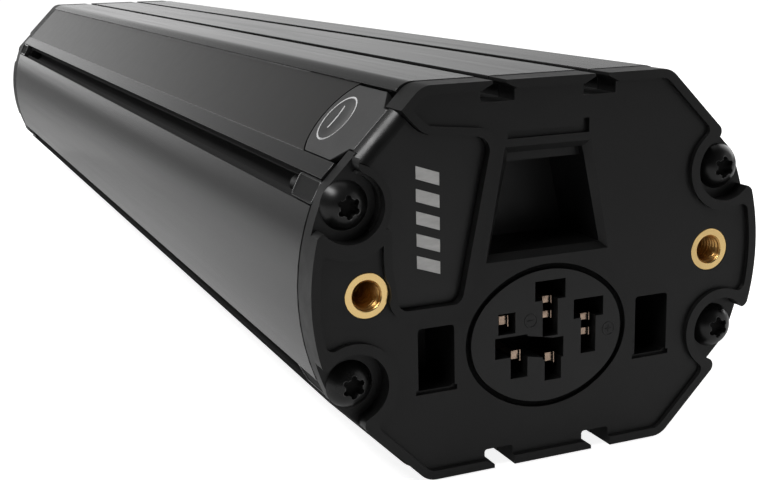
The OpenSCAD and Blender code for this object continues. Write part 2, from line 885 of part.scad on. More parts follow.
module at_each_head() {
    for (x = [-screw_x, screw_x], z = [screw_z_in, pack_h - screw_z_in])
        translate([x, seat_depth - pack_l / 2, z]) rotate([90, 0, 0]) children();
}

module front_screws() {
    color("#1c1c1e") screw_set();
}

module rear_screws() {
    color("#1c1c1e") at_rear() screw_set();
}

// Brass inserts with two knurled bands, shown as plain bands
module insert_set() {
    band_l = insert_l / 3;
    groove_d = insert_d - 2 * field_depth;
    for (x = [-insert_x, insert_x])
        translate([x, field_depth - pack_l / 2, insert_z]) rotate([-90, 0, 0]) difference() {
            union() {
                cylinder(d = insert_d, h = band_l);
                cylinder(d = groove_d, h = insert_l);
                translate([0, 0, insert_l - band_l]) cylinder(d = insert_d, h = band_l);
            }
            translate([0, 0, -overrun]) cylinder(d = insert_thread_d, h = insert_l + 2 * overrun);
        }
}

module front_inserts() {
    color("goldenrod") insert_set();
}

module rear_inserts() {
    color("goldenrod") at_rear() insert_set();
}

module plug_set(start) {
    slab(start, start + plug_l) at_screws()
        translate([groove_out - mouth_depth, plug_gap - mouth_w / 2])
            square([mouth_depth - plug_in, mouth_w - 2 * plug_gap]);
}

module front_groove_plugs() {
    color("#101014") plug_set(tube_start);
}

module rear_groove_plugs() {
    color("#101014") at_rear() plug_set(rear_start);
}

// Display
module panel_roll() {
    // The panel's L profile, drawn as [depth below the chamfer, depth behind the rim]
    profile = [
        [strip_depth, panel_depth, panel_r], [pack_w, panel_depth, 0], [pack_w, panel_floor, 0],
        [cover_floor, panel_floor, 0], [cover_floor, neck_end, 0], [strip_depth, neck_end, 0],
    ];
    on_chamfer() translate([-pack_w, 0, 0]) rotate([0, 90, 0]) linear_extrude(2 * pack_w) rounded(profile);
}

module bar_shape() {
    rise = bar_w * tan(bar_slant);
    at_bars() for (i = [0:bars - 1])
        translate([-bar_w / 2, -i * bar_pitch])
            polygon([[0, 0], [bar_w, -rise], [bar_w, bar_h - rise], [0, bar_h]]);
}

module display_panel() {
    color("#2f2f31") difference() {
        intersection() {
            panel_roll();
            union() {
                slab(0, panel_floor) panel_outline(fit_gap * 2);
                chamfer_plate(0, cover_floor) translate([neck_start + fit_gap * 2, 0])
                    square([neck_w - fit_gap * 4, neck_end]);
            }
        }
        slab(0, panel_floor + overrun) bar_shape();
    }
}

module light_bars() {
    color("gainsboro") slab(panel_depth, panel_floor) bar_shape();
}

display_back = panel_floor + box_t;
display_board_w = 11;
display_board_h = 20;
led_w = 2.8;
led_h = 1.4;

module display_board() {
    color("darkgreen") slab(display_back, display_back + pcb_t)
        at_bars() translate([-display_board_w / 2, bar_h / 2 - display_board_h])
            square([display_board_w, display_board_h]);
}

module display_leds() {
    led_down = led_h + (bar_w * tan(bar_slant) - bar_h) / 2;
    color("ivory") slab(panel_floor + slide_gap, display_back)
        at_bars() for (i = [0:bars - 1])
            translate([-led_w / 2, -i * bar_pitch - led_down]) square([led_w, led_h]);
}

module display_cable() {
    cable_w = 6;
    color("orange") slab(display_back + pcb_t, board_y)
        at_bars() translate([-cable_w / 2, -display_board_h / 2]) square([cable_w, link_t]);
}

// Button
module key_front_shape(d) {
    half = strip_w / 2 - d;
    neck = neck_w / 2 - d;
    translate([strip_mid, 0]) polygon([
        [-neck, key_front], [neck, key_front], [neck, skirt_l + slide_gap], [half, key_shoulder],
        [half, key_arc_y], [-half, key_arc_y], [-half, key_shoulder], [-neck, skirt_l + slide_gap],
    ]);
}

module key_round_end(d) {
    intersection() {
        translate([strip_mid, key_arc_y]) circle(key_arc_r - d);
        translate([strip_in + d, key_shoulder]) square([strip_w - 2 * d, pack_l]);
    }
}

// Bed milled in the tube for the button
module key_bed() {
    translate([strip_in, -overrun]) square([strip_w, key_arc_y + overrun]);
    key_round_end(0);
}

module power_button() {
    dish_r = ((dish_d / 2) ^ 2 + dish_depth ^ 2) / (2 * dish_depth);
    color("#4a4a4d") difference() {
        union() {
            chamfer_plate(strip_depth, strip_depth + key_t) {
                key_front_shape(slide_gap);
                key_round_end(slide_gap);
            }
            chamfer_plate(strip_depth, post_end) translate([strip_mid, dish_y]) circle(key_post_r);
        }
        on_chamfer() translate([-strip_mid, dish_y, dish_r - strip_depth - dish_depth]) sphere(dish_r);
    }
}

module switch_plunger() {
    color("ivory") chamfer_plate(post_end, post_end + plunger_l)
        translate([strip_mid, dish_y]) circle(plunger_r);
}

module switch_body() {
    color("#222222") difference() {
        chamfer_plate(switch_top, switch_floor)
            translate([strip_mid - switch_w / 2, dish_y - switch_w / 2]) square([switch_w, switch_w]);
        chamfer_plate(0, post_end + plunger_l + key_travel + slide_gap)
            translate([strip_mid, dish_y]) circle(plunger_r + slide_gap);
    }
}

module switch_board() {
    color("darkgreen") chamfer_plate(switch_floor, switch_floor + pcb_t)
        translate([strip_mid - switch_board_w / 2, dish_y - switch_board_l / 2])
            square([switch_board_w, switch_board_l]);
}

// Connector
module keyhole_slot() {
    translate([-keyhole_w / 2, keyhole_up]) square([keyhole_w, keyhole_h]);
    translate([-keyhole_stem_w / 2, -keyhole_stem_drop])
        square([keyhole_stem_w, keyhole_stem_drop + keyhole_up + overrun]);
}

// The lone signal slot, and two stems under heads that a slanted bridge joins
module signal_slots() {
    left = signal_at[1];
    right = signal_at[2];
    translate(signal_at[0] - [signal_w, signal_h] / 2) square([signal_w, signal_h]);
    for (p = [left, right])
        translate(p - [signal_w / 2, signal_drop]) square([signal_w, signal_drop + signal_up + overrun]);
    translate(left + [-signal_left_w, signal_up]) square([signal_left_w + signal_w / 2, signal_h]);
    translate(right + [-signal_right_w, signal_up]) square([2 * signal_right_w, signal_h]);
    bridge_start = left + [0, signal_up];
    bridge_end = right + [0, signal_up];
    polygon([bridge_start, bridge_end, bridge_end + [0, signal_h], bridge_start + [0, signal_h]]);
}

module contact_slots() {
    for (p = power_at) translate(p) keyhole_slot();
    signal_slots();
}

module connector_body() {
    half_l = field_depth + connector_l / 2;
    color("#39393b") difference() {
        union() {
            slab(field_depth, half_l) at_connector() oval(connector_a - ring_w, connector_b - ring_w);
            slab(field_depth + seal_sink + seal_l, half_l) at_connector()
                oval(connector_a - fit_gap * 2, connector_b - fit_gap * 2);
            slab(half_l, field_depth + connector_l) at_connector()
                oval(connector_a - 2 * ring_w - fit_gap * 2, connector_b - 2 * ring_w - fit_gap * 2);
        }
        slab(0, field_depth + contact_depth) at_connector() contact_slots();
        slab(0, far) at_connector() {
            for (p = power_at) translate(p - [contact_w + fit_gap, tail_w + fit_gap] / 2)
                square([contact_w + fit_gap, tail_w + fit_gap]);
            for (p = signal_at) translate(p - [tail_w + fit_gap, contact_t + fit_gap] / 2)
                square([tail_w + fit_gap, contact_t + fit_gap]);
        }
    }
}

module connector_seal() {
    sink = field_depth + seal_sink;
    color("black") slab(sink, sink + seal_l) at_connector() difference() {
        oval(connector_a - fit_gap, connector_b - fit_gap);
        oval(connector_a - ring_w + fit_gap, connector_b - ring_w + fit_gap);
    }
}

module power_contacts() {
    base = field_depth + contact_depth;
    color("peru") for (p = power_at) {
        slab(contact_sink, base) at_connector() for (side = [-1, 1])
            translate(p + [-contact_w / 2, side * power_gap / 2 - contact_t / 2])
                square([contact_w, contact_t]);
        slab(base - contact_w, base) at_connector()
            translate(p - [contact_w, power_gap] / 2) square([contact_w, power_gap]);
        slab(base - contact_w, board_y) at_connector()
            translate(p - [contact_w, tail_w] / 2) square([contact_w, tail_w]);
    }
}

module signal_contacts() {
    base = field_depth + contact_depth;
    color("peru") for (p = signal_at) {
        slab(contact_sink, base) at_connector()
            translate(p - [contact_w, contact_t] / 2) square([contact_w, contact_t]);
        slab(base - contact_w, board_y) at_connector()
            translate(p - [tail_w, contact_t] / 2) square([tail_w, contact_t]);
    }
}

// Control board
board_back = board_y + board_t;

module control_board() {
    board_in = 1;
    color("darkgreen") slab(board_y, board_back) difference() {
        cavity(board_in);
        for (p = posts_at) translate(p) circle(post_d / 4);
    }
}

module board_posts() {
    color("white") slab(board_back, module_start) for (p = posts_at) translate(p) difference() {
        circle(post_d / 2);
        circle(post_d / 4);
    }
}

module board_screws() {
    small_head_h = 1.2;
    color("silver") for (p = posts_at) {
        slab(board_y - small_head_h, board_y) translate(p) circle(post_d / 2);
        slab(board_y - small_head_h, board_back + post_l / 3) translate(p) circle(post_d / 4 - fit_gap);
    }
}

transistor_w = 10;
transistor_l = 9;
transistor_h = 4.6;
transistor_z = 13;

module power_transistors() {
    color("#2a2a2c") slab(board_back, board_back + transistor_h)
        for (i = [-1, 0, 1]) translate([i * (transistor_w + box_t) - transistor_w / 2, transistor_z])
            square([transistor_w, transistor_l]);
}

capacitor_d = 8;
capacitor_l = 14;
capacitor_in = 15.6;

module board_capacitors() {
    color("#3c4a66") slab(board_back, board_back + capacitor_l)
        for (i = [0, 1])
            translate([i * (capacitor_d + box_t) + capacitor_in - half_w, mid_z]) circle(capacitor_d / 2);
}

// A blade fuse in its holder, standing on the back of the board
fuse_d = 6;
fuse_w = 20;
fuse_in = 11.5;

module main_fuse() {
    color("#b4432f") slab(board_back, board_back + capacitor_l)
        translate([half_w - fuse_in - fuse_w, mid_z - fuse_d / 2]) square([fuse_w, fuse_d]);
}

chip_w = 10;
chip_h = 1.6;
chip_down = 25;
small_chip_w = 7;
small_chip_l = 5;

module processor_chips() {
    color("#1d1d1f") slab(board_back, board_back + chip_h) translate([0, pack_h - chip_down]) {
        translate([-chip_w / 2, 0]) square([chip_w, chip_w]);
        for (side = [-1, 1])
            translate([side * (chip_w + small_chip_w / 2) - small_chip_w / 2, chip_w / 4])
                square([small_chip_w, small_chip_l]);
    }
}

sense_socket_w = 8;
sense_socket_t = 6;

module sense_socket() {
    color("ivory") slab(board_back, board_back + sense_socket_t)
        translate([lead_x - sense_socket_w, mid_z + lead_dz - sense_socket_t / 2])
            square([sense_socket_w + lead_d / 2, sense_socket_t]);
}

// Cells
function module_at(i) = module_start + (i - 1) * (module_l + sheet_t);
function links_front() = [[0, 1], [2, 3], [4, 5], [6, 7], [8, 9]];
function links_rear() = [[1, 2], [3, 4], [5, 6], [7, 8]];

module at_middle() {
    translate([0, mid_z]) children();
}

// A steel can with its crimped neck and end button, along +Z from its flat end
module can() {
    r = cell_d / 2;
    rotate_extrude() polygon([
        [0, 0], [r, 0], [r, cell_l - button_h - 2 * can_crimp_y],
        [r - can_crimp, cell_l - button_h - can_crimp_y * 3 / 2], [r, cell_l - button_h - can_crimp_y],
        [r, cell_l - button_h], [button_r, cell_l - button_h], [button_r, cell_l], [0, cell_l],
    ]);
}

// Every other cell faces the front, so that the links join them in series
module cells(i) {
    start = module_at(i) + tray_end_t - pack_l / 2;
    color("steelblue") for (k = [0:len(cells_at) - 1])
        translate([cells_at[k][0], start + (k % 2 == 0 ? 0 : cell_l), mid_z + cells_at[k][1]])
            rotate([k % 2 == 0 ? -90 : 90, 0, 0]) can();
}

module link_shape(pair, r) {
    a = cells_at[pair[0]];
    b = cells_at[pair[1]];
    translate(a) circle(r);
    translate(b) circle(r);
    translate(a) rotate(atan2(b[1] - a[1], b[0] - a[0])) translate([0, -r]) square([norm(b - a), 2 * r]);
}

// Arm from an end cell to the power lead beside it
module terminal_shape(side, r) {
    a = side * [-cell_pitch, row_pitch];
    b = side * [-lead_x, lead_dz];
    translate(a) circle(r);
    translate(a) rotate(atan2(b[1] - a[1], b[0] - a[0])) translate([0, -r / 3])
        square([norm(b - a), 2 * r / 3]);
    translate(b) circle(lead_d);
}

module lead_holes(r) {
    translate([-lead_x, lead_dz]) circle(r);
    translate([lead_x, -lead_dz]) circle(r);
    translate([lead_x, lead_dz]) circle(r);
}

module front_link_shapes(r) {
    for (pair = links_front()) link_shape(pair, r);
}

module rear_link_shapes(r) {
    for (pair = links_rear()) link_shape(pair, r);
    for (side = [-1, 1]) terminal_shape(side, r);
}

module tray_plate() {
    difference() {
        cavity(tray_gap);
        at_middle() lead_holes(lead_d / 2 + tray_gap);
    }
}

module tray_collar() {
    difference() {
        tray_plate();
        at_middle() for (p = cells_at) translate(p) circle(cell_hole_r);
    }
}

module front_tray(i) {
    start = module_at(i);
    color("#e8e6df") {
        slab(start, start + tray_end_t) difference() {
            tray_plate();
            at_middle() front_link_shapes(link_r + slide_gap);
        }
        slab(start + tray_end_t, start + tray_l) tray_collar();
    }
}

module rear_tray(i) {
    end = module_at(i) + module_l;
    color("#e8e6df") {
        slab(end - tray_end_t, end) difference() {
            tray_plate();
            at_middle() intersection() {
                rear_link_shapes(link_r + slide_gap);
                translate([0, -mid_z]) cavity(tray_wall_in);
            }
        }
        slab(end - tray_l, end - tray_end_t) tray_collar();
    }
}

module cell_links(i) {
    front = module_at(i) + tray_end_t;
    rear = module_at(i) + module_l - tray_end_t;
    color("silver") {
        slab(front - link_t, front) at_middle() difference() {
            front_link_shapes(link_r);
            lead_holes(lead_d / 2 + tray_gap);
        }
        slab(rear, rear + link_t) at_middle() difference() {
            intersection() {
                rear_link_shapes(link_r);
                translate([0, -mid_z]) cavity(tray_wall_in + slide_gap);
            }
            lead_holes(lead_d / 2 + fit_gap);
        }
    }
}

module module_sheets() {
    color("#e9dcae") for (i = [1:modules - 1]) {
        start = module_at(i) + module_l;
        slab(start, start + sheet_t) tray_plate();
    }
}

module rear_foam() {
    color("#5a5a5a") slab(modules_end, pack_l - rear_start - spigot_l) difference() {
        cavity(tray_gap);
        at_middle() lead_holes(lead_d / 2 + tray_gap);
    }
}

last_link = module_at(modules) + module_l - tray_end_t + link_t;

module positive_lead() {
    color("firebrick") slab(board_back, last_link) at_middle()
        translate([-lead_x, lead_dz]) circle(lead_d / 2);
}

module negative_lead() {
    color("#202020") slab(board_back, last_link) at_middle()
        translate([lead_x, -lead_dz]) circle(lead_d / 2);
}

module sense_harness() {
    color("#8a2f6b") slab(board_back + sense_socket_t, last_link) at_middle()
        translate([lead_x, lead_dz]) circle(lead_d / 2);
}

// One bead in the gap between three cells of each middle module
module thermistors() {
    bead_r = cell_pitch / sqrt(3) - cell_d / 2 - slide_gap;
    bead_l = 8;
    color("black") for (i = [2:modules - 1])
        slab(module_at(i) + tray_l, module_at(i) + tray_l + bead_l) at_middle()
            translate([0, row_pitch / 3]) circle(bead_r);
}

housing_tube();
front_cap();
rear_cap();
front_seal();
rear_seal();
front_screws();
rear_screws();
front_inserts();
rear_inserts();
front_groove_plugs();
rear_groove_plugs();
label_strip();
display_panel();
light_bars();
display_board();
display_leds();
display_cable();
power_button();
switch_plunger();
switch_body();
switch_board();
connector_body();
connector_seal();
power_contacts();
signal_contacts();
control_board();
board_posts();
board_screws();
power_transistors();
board_capacitors();
main_fuse();
processor_chips();
sense_socket();
for (i = [1:modules]) {
    cells(i);
    front_tray(i);
    rear_tray(i);
    cell_links(i);
}
module_sheets();
rear_foam();
positive_lead();
negative_lead();
sense_harness();
thermistors();
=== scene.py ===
import json
import math

import bmesh
import bpy
from mathutils import Matrix, Vector


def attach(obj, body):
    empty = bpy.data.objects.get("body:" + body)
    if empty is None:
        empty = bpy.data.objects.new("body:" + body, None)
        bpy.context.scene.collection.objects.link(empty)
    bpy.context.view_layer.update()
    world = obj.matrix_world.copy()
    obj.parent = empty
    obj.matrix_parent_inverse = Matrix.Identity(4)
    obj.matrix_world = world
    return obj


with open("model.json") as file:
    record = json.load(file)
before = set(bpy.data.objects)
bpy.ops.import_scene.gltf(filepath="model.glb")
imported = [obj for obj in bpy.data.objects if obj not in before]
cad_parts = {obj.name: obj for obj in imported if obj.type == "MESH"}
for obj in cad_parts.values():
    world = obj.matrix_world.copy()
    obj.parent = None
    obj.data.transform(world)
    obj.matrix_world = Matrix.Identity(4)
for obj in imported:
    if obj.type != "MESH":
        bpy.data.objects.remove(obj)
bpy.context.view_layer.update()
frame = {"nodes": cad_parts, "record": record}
NODES = frame["nodes"]

MM = 0.001

# Sizes of the part in millimetres, as in its source
PACK_L = 354.0
PACK_H = 65.0
FRONT_CAP = 6.3
REAR_CAP = 10.3
SCREW_X = 35.0
SCREW_Z = 47.0
# Half distance of the ridges where the top meets the chamfers
RIDGE_X = 23.2
# Depth of the front face inside its rim, and of the button's face below the chamfer
FIELD_Y = 0.8
STRIP_N = 0.4
# Direction of the side grooves, up from the X axis
GROOVE_A = math.radians(28)


def place(x, y, z):
    """A point given in millimetres, with y measured back from the front rim, in the row frame."""
    return Vector((x * MM, (y - PACK_L / 2) * MM, z * MM))


def on_chamfer(s, y, n):
    """A point on the left top chamfer: s down the slope from the ridge, y back, n below the surface."""
    h = math.sqrt(0.5)
    return place(-RIDGE_X - (s - n) * h, y, PACK_H - (s + n) * h)


def corners():
    """Name, side, whether low and whether in front, of each of the eight screws and groove plugs."""
    for end, front in (("front", True), ("rear", False)):
        for side_name, side in (("left", -1), ("right", 1)):
            for level, low in (("low", True), ("high", False)):
                yield "_".join((end, side_name, level)), side, low, front


# Materials

# Painted shade: the open side grooves are painted near black and matt inside, where shadow falls, up to this
# far out from the screw's axis and to each side
GROOVE_SHADE_REACH = 3.5
GROOVE_HALF = 2.6
GROOVE_PAINTED_SHADE = 0.002

# Noise of the patches: its roughness, and where it turns from one colour to the other
PATCH_ROUGH = 0.6
PATCH_LOW, PATCH_HIGH = 0.3, 0.7
# Detail of each noise, and how much finer the patches of roughness are than those of colour
COLOUR_DETAIL, SHINE_DETAIL, SHINE_FINER = 3, 4, 4
GRAIN_DETAIL, GRAIN_ROUGH = 2, 0.5

# Sockets of Blender's colour mix
MIX_FAC, MIX_A, MIX_B, MIX_OUT = 0, 6, 7, 2


def grey(v, tint=(1, 1, 1)):
    return (v * tint[0], v * tint[1], v * tint[2])


class Tree:
    """The shader nodes of a material or a world, with short ways to add and link them."""

    def __init__(self, owner):
        owner.use_nodes = True
        self.nodes = owner.node_tree.nodes
        self.links = owner.node_tree.links
        self.nodes.clear()

    def feed(self, socket, value):
        """Link an input to the output given, or set it to the plain value given."""
        if isinstance(value, bpy.types.NodeSocket):
            self.links.new(value, socket)
        else:
            socket.default_value = value

    def add(self, kind, inputs=None, **props):
        node = self.nodes.new("ShaderNode" + kind)
        for key, value in props.items():
            setattr(node, key, value)
        for key, value in (inputs or {}).items():
            self.feed(node.inputs[key], value)
        return node

    def maths(self, operation, *values):
        return self.add("Math", dict(enumerate(values)), operation=operation).outputs[0]

    def fade(self, value, low, high, at_low, at_high):
        """A value carried from one range to another and held at its ends."""
        node = self.add("MapRange", {"Value": value, "From Min": low, "From Max": high,
                                     "To Min": at_low, "To Max": at_high})
        return node.outputs["Result"]

    def blend(self, fac, a, b):
        """Colour a where fac is 0 and colour b where it is 1."""
        node = self.add("Mix", data_type="RGBA")
        for key, value in ((MIX_FAC, fac), (MIX_A, a), (MIX_B, b)):
            self.feed(node.inputs[key], value)
        return node.outputs[MIX_OUT]

    def ramp(self, fac, stops):
        """A colour ramp through stops in order, each a position and a colour."""
        node = self.add("ValToRGB", {"Fac": fac})
        elements = node.color_ramp.elements
        while len(elements) > 1:
            elements.remove(elements[-1])
        elements[0].position = stops[0][0]
        for at, colour in stops[1:]:
            elements.new(at)
        for element, (at, colour) in zip(elements, stops):
            element.color = (*colour, 1)
        return node.outputs["Color"]

    def noise(self, scale, detail, rough, stretch):
        coords = self.add("TexCoord").outputs["Object"]
        coords = self.add("Mapping", {"Vector": coords, "Scale": stretch}).outputs["Vector"]
        node = self.add("TexNoise", {"Vector": coords, "Scale": scale, "Detail": detail, "Roughness": rough})
        return node.outputs["Fac"]

    def patchy(self, scale, detail, stretch, a, b):
        """Patches between the colours a and b."""
        return self.ramp(self.noise(scale, detail, PATCH_ROUGH, stretch), ((PATCH_LOW, a), (PATCH_HIGH, b)))

    def painted_groove_shade(self):
        """The mask of the painted groove shade: 1 inside the open side grooves and 0 elsewhere, told by place
        alone.
        """
        coords = self.add("TexCoord").outputs["Object"]
        xyz = self.add("SeparateXYZ", {0: coords}).outputs
        x = self.maths("SUBTRACT", self.maths("ABSOLUTE", xyz["X"]), SCREW_X * MM)
        z = self.maths("ABSOLUTE", self.maths("SUBTRACT", xyz["Z"], PACK_H / 2 * MM))
        z = self.maths("SUBTRACT", z, (SCREW_Z - PACK_H / 2) * MM)
        c, s = math.cos(GROOVE_A), math.sin(GROOVE_A)
        out = self.maths("ADD", self.maths("MULTIPLY", x, c), self.maths("MULTIPLY", z, s))
        across = self.maths("SUBTRACT", self.maths("MULTIPLY", z, c), self.maths("MULTIPLY", x, s))
        across = self.maths("ABSOLUTE", across)
        return self.maths("MULTIPLY", self.maths("LESS_THAN", out, GROOVE_SHADE_REACH * MM),
                          self.maths("LESS_THAN", across, GROOVE_HALF * MM))


def surface(name, base, rough, metallic=0.0, spread=0.15, grain=(900, 0.25, 0.00004), rough_spread=0.05,
            stretch=(1, 1, 1), patch=60, tint=(1, 1, 1), specular=0.5, groove_shade_rough=None):
    """A finish with slow colour change, patchy roughness, fine grain and, if asked, painted shade in the
    grooves.

    grain is the scale, strength and height of the bump. patch is the scale of the colour change.
    """
    mat = bpy.data.materials.new(name)
    tree = Tree(mat)
    colour = tree.patchy(patch, COLOUR_DETAIL, stretch,
                         grey(base * (1 - spread), tint), grey(base * (1 + spread), tint))
    roughness = tree.patchy(patch * SHINE_FINER, SHINE_DETAIL, stretch,
                            grey(rough - rough_spread), grey(rough + rough_spread))
    # Painted shade: inside the side grooves the colour goes near black, and matt, where shadow falls in them
    if groove_shade_rough is not None:
        groove_shade = tree.painted_groove_shade()
        colour = tree.blend(groove_shade, colour, (*grey(GROOVE_PAINTED_SHADE), 1))
        roughness = tree.blend(groove_shade, roughness, (*grey(groove_shade_rough), 1))
    scale, strength, height = grain
    bump = tree.add("Bump", {"Height": tree.noise(scale, GRAIN_DETAIL, GRAIN_ROUGH, stretch),
                             "Strength": strength, "Distance": height})
    bsdf = tree.add("BsdfPrincipled", {"Base Color": colour, "Roughness": roughness, "Metallic": metallic,
                                       "Specular IOR Level": specular, "Normal": bump.outputs["Normal"]})
    tree.add("OutputMaterial", {"Surface": bsdf.outputs["BSDF"]})
    return mat


def coloured(name, rgb, rough, spread=0.12, grain=(900, 0.2, 0.00003), patch=80, **more):
    """A finish given by its colour instead of a level and a tint."""
    m = max(rgb)
    return surface(name, m, rough, spread=spread, grain=grain, patch=patch, tint=tuple(c / m for c in rgb),
                   **more)


MATS = {
    # The tube gets painted shade inside its side grooves
    "anodised_tube": surface("anodised_black", 0.016, 0.22, spread=0.08, stretch=(1, 0.02, 1), patch=140,
                             grain=(2600, 0.05, 0.00001), rough_spread=0.015, groove_shade_rough=0.9),
    "cap_plastic": surface("cap_black_nylon", 0.0065, 0.42, spread=0.12, specular=0.3,
                           grain=(3800, 0.35, 0.00003)),
    "seal_rubber": surface("seal_rubber", 0.003, 0.85, specular=0.15, grain=(2500, 0.3, 0.00003)),
    "screw_black": surface("black_oxide_steel", 0.012, 0.3, metallic=0.4, grain=(3000, 0.12, 0.00001)),
    # Painted shade: a matt black lining for the depth of the screws' sockets
    "socket_painted_shade": surface("socket_shade_matte_black", 0.003, 0.75, specular=0.2, grain=(3000, 0.2, 0.00001)),
    # Painted highlight: a brighter steel for the edges of the sockets
    "socket_highlight_steel": surface("steel_edge_painted_highlight", 0.07, 0.3, metallic=1.0, spread=0.7, patch=900,
                          grain=(5000, 0.2, 0.00001)),
    "brass": coloured("turned_brass", (0.92, 0.65, 0.28), 0.2, metallic=1.0, grain=(1800, 0.1, 0.00001)),
    "brass_bore": coloured("brass_in_the_bore", (0.62, 0.36, 0.12), 0.34, metallic=1.0,
                           grain=(1800, 0.1, 0.00001)),
    # The plugs sit in the grooves and get the same painted shade there
    "plug_plastic": surface("plug_gloss_black", 0.008, 0.14, grain=(1500, 0.06, 0.00001),
                            rough_spread=0.02, groove_shade_rough=0.85),
    "label_film": surface("label_film", 0.01, 0.29, spread=0.03, tint=(1.05, 1.0, 0.95),
                          rough_spread=0.01, grain=(4000, 0.05, 0.00001)),
    # Painted highlight: a pale grey for the edges of the label film
    "painted_film_highlight": surface("label_film_painted_highlight", 0.13, 0.24, spread=0.2, grain=(4000, 0.05, 0.00001)),
    "panel_plastic": surface("panel_black", 0.004, 0.36, specular=0.38, grain=(3800, 0.3, 0.00003)),
    "light_diffuser": surface("light_diffuser", 0.58, 0.4, spread=0.12, patch=900, stretch=(0.3, 1, 1),
                              tint=(1.0, 0.99, 0.97), grain=(2500, 0.2, 0.00003)),
    "button_plastic": surface("button_black", 0.047, 0.34, grain=(3600, 0.28, 0.00003)),
    "circuit_board": coloured("solder_mask", (0.02, 0.13, 0.05), 0.3),
    "led_epoxy": coloured("led_epoxy", (0.8, 0.78, 0.7), 0.25),
    "ribbon_cable": coloured("polyimide", (0.6, 0.28, 0.06), 0.35),
    "white_nylon": coloured("white_nylon", (0.72, 0.71, 0.68), 0.45),
    "connector_plastic": surface("connector_black", 0.008, 0.36, specular=0.35,
                                 grain=(3800, 0.25, 0.00002)),
    "contact_copper": coloured("contact_copper", (0.46, 0.34, 0.26), 0.3, metallic=1.0, spread=0.25,
                               patch=1200, grain=(2500, 0.1, 0.00001)),
    "chip_epoxy": surface("chip_epoxy", 0.02, 0.5),
    "capacitor_sleeve": coloured("capacitor_sleeve", (0.03, 0.05, 0.12), 0.3),
    "fuse_plastic": coloured("fuse_plastic", (0.5, 0.05, 0.03), 0.3),
    "plated_steel": surface("plated_steel", 0.6, 0.28, metallic=1.0),
    "cell_sleeve": coloured("cell_sleeve", (0.03, 0.16, 0.3), 0.3),
    "paper_board": coloured("paper_board", (0.62, 0.53, 0.34), 0.7),
    "foam": surface("foam", 0.03, 0.9, grain=(1500, 0.6, 0.0001)),
    "red_insulation": coloured("red_insulation", (0.4, 0.02, 0.015), 0.4),
    "black_insulation": surface("black_insulation", 0.01, 0.4),
    "violet_insulation": coloured("violet_insulation", (0.2, 0.03, 0.13), 0.4),
    "white_print": surface("white_print", 0.6, 0.45, spread=0.05, grain=(4000, 0.1, 0.00001)),
}

SLOT_OF = {s["node"]: s["material_slot"] for s in frame["record"]["subparts"]}

for name, obj in NODES.items():
    if obj.material_slots:
        for s in obj.material_slots:
            s.material = MATS[SLOT_OF[name]]
    else:
        obj.data.materials.append(MATS[SLOT_OF[name]])

# Soft edges on the moulded and machined parts, with the width of the bevel in millimetres
SOFT_EDGES = {"front_cap": 0.22, "rear_cap": 0.22, "housing_tube": 0.15, "display_panel": 0.12,
              "power_button": 0.15, "connector_body": 0.12, "front_inserts": 0.18, "rear_inserts": 0.18,
              "light_bars": 0.06}
WELD_DISTANCE = 1e-6
FLAT_ANGLE = math.radians(0.5)
SHARP_ANGLE = math.radians(30)


def soften(node, width):
    """Join the facets of each flat face, bevel the sharp edges and even out the shading."""
    modifiers = NODES[node].modifiers
    weld = modifiers.new("weld", "WELD")
    weld.merge_threshold = WELD_DISTANCE
    flat = modifiers.new("flat", "DECIMATE")
    flat.decimate_type = "DISSOLVE"
    flat.angle_limit = FLAT_ANGLE
    bevel = modifiers.new("bevel", "BEVEL")
    bevel.width = width * MM
    bevel.segments = 2
    bevel.limit_method = "ANGLE"
    bevel.angle_limit = SHARP_ANGLE
    bevel.use_clamp_overlap = True
    bevel.miter_outer = "MITER_ARC"
    even = modifiers.new("even", "WEIGHTED_NORMAL")
    even.weight = 50


for node, width in SOFT_EDGES.items():
    soften(node, width)

# Detail pieces


def piece(name, verts, faces, slot, body="pack"):
    """A smooth mesh that moves with a body."""
    me = bpy.data.meshes.new(name)
    me.from_pydata([tuple(v) for v in verts], [], faces)
    me.validate()
    me.shade_smooth()
    me.materials.append(MATS[slot])
    o = bpy.data.objects.new(name, me)
    bpy.context.scene.collection.objects.link(o)
    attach(o, body)


def grid_faces(rows, cols, ring=True, torus=False):
    """Quads between rows of points. In a ring each row closes on itself, in a torus the rows do too."""
    faces = []
    for j in range(rows if torus else rows - 1):
        here, there = j * cols, (j + 1) % rows * cols
        for i in range(cols if ring else cols - 1):
            k = (i + 1) % cols
            faces.append((here + i, here + k, there + k, there + i))
    return faces


def capped_faces(rows, cols):
    """Rings joined by quads, with one face across the last."""
    return grid_faces(rows, cols) + [tuple(range((rows - 1) * cols, rows * cols))]


CORNER_STEPS = 5
LOOP_COLS = 4 * (CORNER_STEPS + 1)


def rounded_loop(a, b, r):
    """Points of a rounded rectangle with half sizes a and b."""
    pts = []
    for k, (sx, sy) in enumerate(((1, 1), (-1, 1), (-1, -1), (1, -1))):
        for i in range(CORNER_STEPS + 1):
            t = math.pi / 2 * (k + i / CORNER_STEPS)
            pts.append((sx * (a - r) + r * math.cos(t), sy * (b - r) + r * math.sin(t)))
    return pts


# Threads in the brass inserts, with the radii along one pitch from root to crest and back
INSERT_X = 32.4
INSERT_Z = 32.7
INSERT_L = 9.0
THREAD_PITCH = 0.8
THREAD_RADII = (2.48, 2.36, 2.14, 2.12, 2.34, 2.48)
THREAD_END = 0.05
THREAD_COLS = 48
LEAD_IN_R = 2.62
LEAD_IN_L = 0.55
LEAD_IN_SLOPE = 0.9


